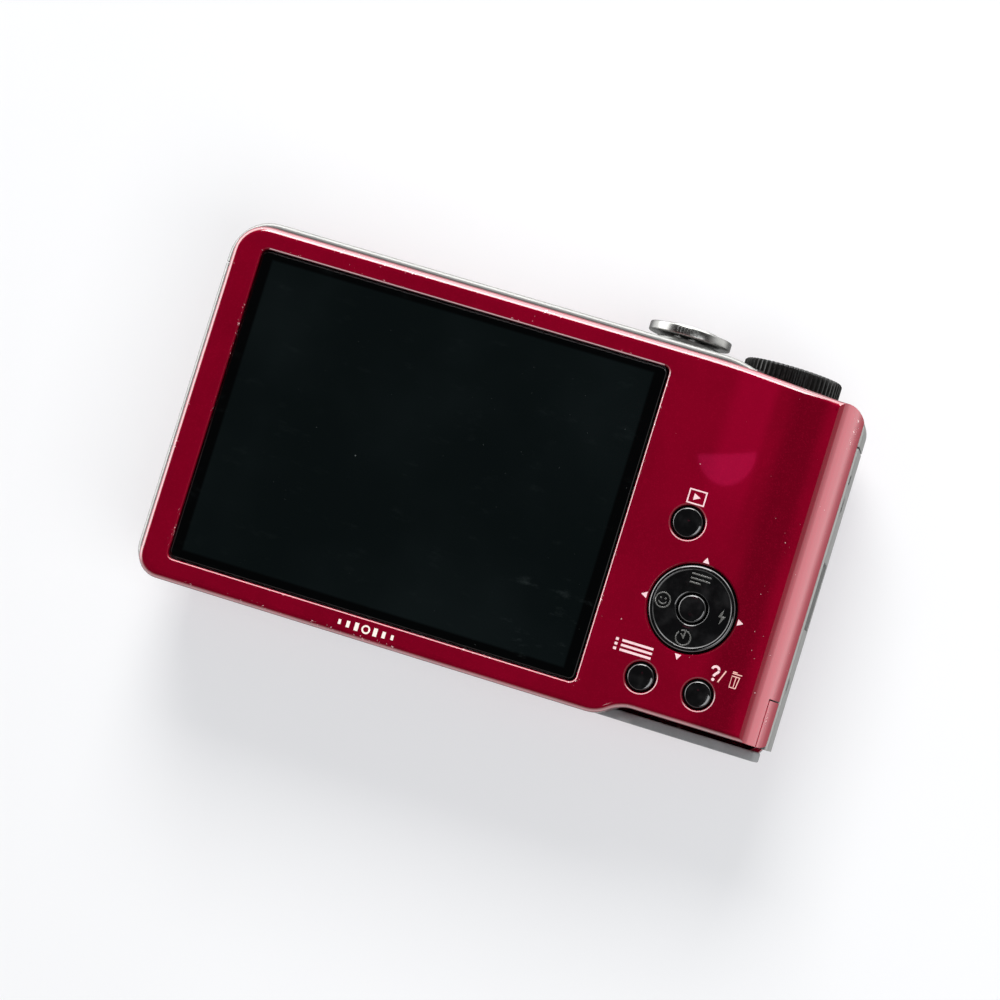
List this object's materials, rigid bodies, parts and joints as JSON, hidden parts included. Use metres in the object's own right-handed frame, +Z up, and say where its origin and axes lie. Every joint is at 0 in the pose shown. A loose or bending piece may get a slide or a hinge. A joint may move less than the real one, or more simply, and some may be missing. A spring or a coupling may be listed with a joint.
{
  "type": "compact digital camera",
  "caption": "Compact digital camera with a large rear screen, retracting zoom lens, mode dial, zoom ring, control pad and hinged battery door.",
  "frame": {"origin": "middle of the camera's footprint, on the plane that its base stands on", "axes": "+Z up; the lens faces -Y and the screen faces +Y; X runs along the long side, with the grip, shutter and mode dial at -X"},
  "size_m": [0.1018, 0.029, 0.0609],
  "materials": {
    "red_shell": "glossy metallic red lacquer",
    "silver_shell": "satin silver paint",
    "polished_metal": "polished",
    "steel": "plain",
    "gloss_black": "polished black",
    "matte_black": "fine matte",
    "door_grey": "matte grey",
    "screen_glass": "coated black glass",
    "clear_glass": "clear",
    "circuit_board": "solder mask",
    "white_plastic": "plain",
    "amber": "translucent amber",
    "cell_wrap": "plain dark"
  },
  "bodies": {
    "casing": {"rear_cover": "red_shell", "front_cover": "red_shell", "top_cover": "silver_shell", "side_band_left": "silver_shell", "side_band_right": "silver_shell", "strap_lug": "polished_metal", "side_screw_upper": "steel", "side_screw_lower": "steel", "side_screw_left_upper": "steel", "side_screw_left_lower": "steel", "grip": "silver_shell", "screen_glass": "screen_glass", "lcd_panel": "gloss_black", "backlight": "white_plastic", "chassis": "steel", "control_board": "circuit_board", "dome_sheet": "white_plastic", "main_board": "circuit_board", "top_board": "circuit_board", "lens_bezel": "silver_shell", "lens_housing": "matte_black", "focus_lens": "clear_glass", "image_sensor": "gloss_black", "sensor_board": "circuit_board", "zoom_motor": "steel", "flash_window": "clear_glass", "flash_reflector": "polished_metal", "flash_tube": "clear_glass", "flash_capacitor": "cell_wrap", "focus_lamp": "amber", "speaker": "matte_black", "tripod_socket": "steel", "battery_box": "matte_black", "battery": "cell_wrap", "battery_contacts": "steel", "memory_card": "cell_wrap"},
    "play_key": {"play_button": "gloss_black"},
    "menu_key": {"menu_button": "gloss_black"},
    "delete_key": {"delete_button": "gloss_black"},
    "rocker": {"pad_rocker": "white_plastic"},
    "pad": {"control_pad": "gloss_black"},
    "centre_key": {"centre_button": "gloss_black"},
    "shutter": {"shutter_button": "polished_metal"},
    "zoom_ring": {"zoom_lever": "polished_metal"},
    "power_key": {"power_button": "silver_shell"},
    "dial": {"mode_dial": "matte_black", "dial_cap": "silver_shell"},
    "outer_barrel": {"barrel_outer": "silver_shell"},
    "middle_barrel": {"barrel_middle": "silver_shell"},
    "inner_barrel": {"barrel_inner": "silver_shell", "front_lens": "clear_glass"},
    "upper_blade": {"blade_upper": "matte_black"},
    "lower_blade": {"blade_lower": "matte_black"},
    "door_slider": {"door_carriage": "steel", "door_pin": "steel"},
    "door": {"battery_door": "door_grey"},
    "lock": {"battery_lock": "amber"},
    "flap": {"cable_flap": "red_shell"}
  },
  "joints": [
    {"name": "play_press", "type": "slide", "parent": "casing", "child": "play_key", "axis": [0, -1, 0], "range_m": [0, 0.0005], "stiffness_N_per_m": 200},
    {"name": "menu_press", "type": "slide", "parent": "casing", "child": "menu_key", "axis": [0, -1, 0], "range_m": [0, 0.0005], "stiffness_N_per_m": 200},
    {"name": "delete_press", "type": "slide", "parent": "casing", "child": "delete_key", "axis": [0, -1, 0], "range_m": [0, 0.0005], "stiffness_N_per_m": 200},
    {"name": "pad_tilt_sideways", "type": "hinge", "parent": "casing", "child": "rocker", "pos_m": [-0.03449, 0.0111, 0.01925], "axis": [0, 0, 1], "range_deg": [-2, 2], "stiffness_Nm_per_rad": 0.02},
    {"name": "pad_tilt_upright", "type": "hinge", "parent": "rocker", "child": "pad", "pos_m": [-0.03449, 0.0118, 0.01925], "axis": [1, 0, 0], "range_deg": [-2, 2], "stiffness_Nm_per_rad": 0.02},
    {"name": "centre_press", "type": "slide", "parent": "casing", "child": "centre_key", "axis": [0, -1, 0], "range_m": [0, 0.0004], "stiffness_N_per_m": 200},
    {"name": "shutter_press", "type": "slide", "parent": "casing", "child": "shutter", "axis": [0, 0, -1], "range_m": [0, 0.0006], "stiffness_N_per_m": 300},
    {"name": "zoom_turn", "type": "hinge", "parent": "casing", "child": "zoom_ring", "pos_m": [-0.0207, 0, 0.0596], "axis": [0, 0, 1], "range_deg": [-25, 25], "stiffness_Nm_per_rad": 0.01},
    {"name": "power_press", "type": "slide", "parent": "casing", "child": "power_key", "axis": [0, 0, -1], "range_m": [0, 0.0004], "stiffness_N_per_m": 200},
    {"name": "mode_dial_turn", "type": "hinge", "parent": "casing", "child": "dial", "pos_m": [-0.0376, 0, 0.0574], "axis": [0, 0, 1], "continuous": true},
    {"name": "lens_extend", "type": "slide", "parent": "casing", "child": "outer_barrel", "axis": [0, -1, 0], "range_m": [0, 0.014]},
    {"name": "lens_extend_middle", "type": "slide", "parent": "outer_barrel", "child": "middle_barrel", "axis": [0, -1, 0], "range_m": [0, 0.0121]},
    {"name": "lens_extend_inner", "type": "slide", "parent": "middle_barrel", "child": "inner_barrel", "axis": [0, -1, 0], "range_m": [0, 0.0061]},
    {"name": "blade_upper_open", "type": "hinge", "parent": "inner_barrel", "child": "upper_blade", "pos_m": [0.024, -0.0124, 0.03], "axis": [0, 1, 0], "range_deg": [0, 45.5]},
    {"name": "blade_lower_open", "type": "hinge", "parent": "inner_barrel", "child": "lower_blade", "pos_m": [0.002, -0.0124, 0.0268], "axis": [0, 1, 0], "range_deg": [0, 45.5]},
    {"name": "door_slide", "type": "slide", "parent": "casing", "child": "door_slider", "axis": [-1, 0, 0], "range_m": [0, 0.0015]},
    {"name": "door_swing", "type": "hinge", "parent": "door_slider", "child": "door", "pos_m": [-0.0165, 0.0014, 0.00085], "axis": [0, -1, 0], "range_deg": [0, 90]},
    {"name": "battery_lock_turn", "type": "hinge", "parent": "casing", "child": "lock", "pos_m": [-0.0134, 0.0005, 0.003], "axis": [0, 0, 1], "range_deg": [0, 60], "stiffness_Nm_per_rad": 0.001},
    {"name": "cable_flap_swing", "type": "hinge", "parent": "casing", "child": "flap", "pos_m": [-0.0482, 0.01095, 0.006], "axis": [0, 0, -1], "range_deg": [0, 60], "stiffness_Nm_per_rad": 0.001}
  ],
  "couplings": [
    {"joint": "lens_extend_middle", "follows": "lens_extend", "ratio": 0.85714},
    {"joint": "lens_extend_inner", "follows": "lens_extend", "ratio": 0.42857},
    {"joint": "blade_upper_open", "follows": "lens_extend", "rad_per_m": 56.1},
    {"joint": "blade_lower_open", "follows": "lens_extend", "rad_per_m": 56.1}
  ]
}
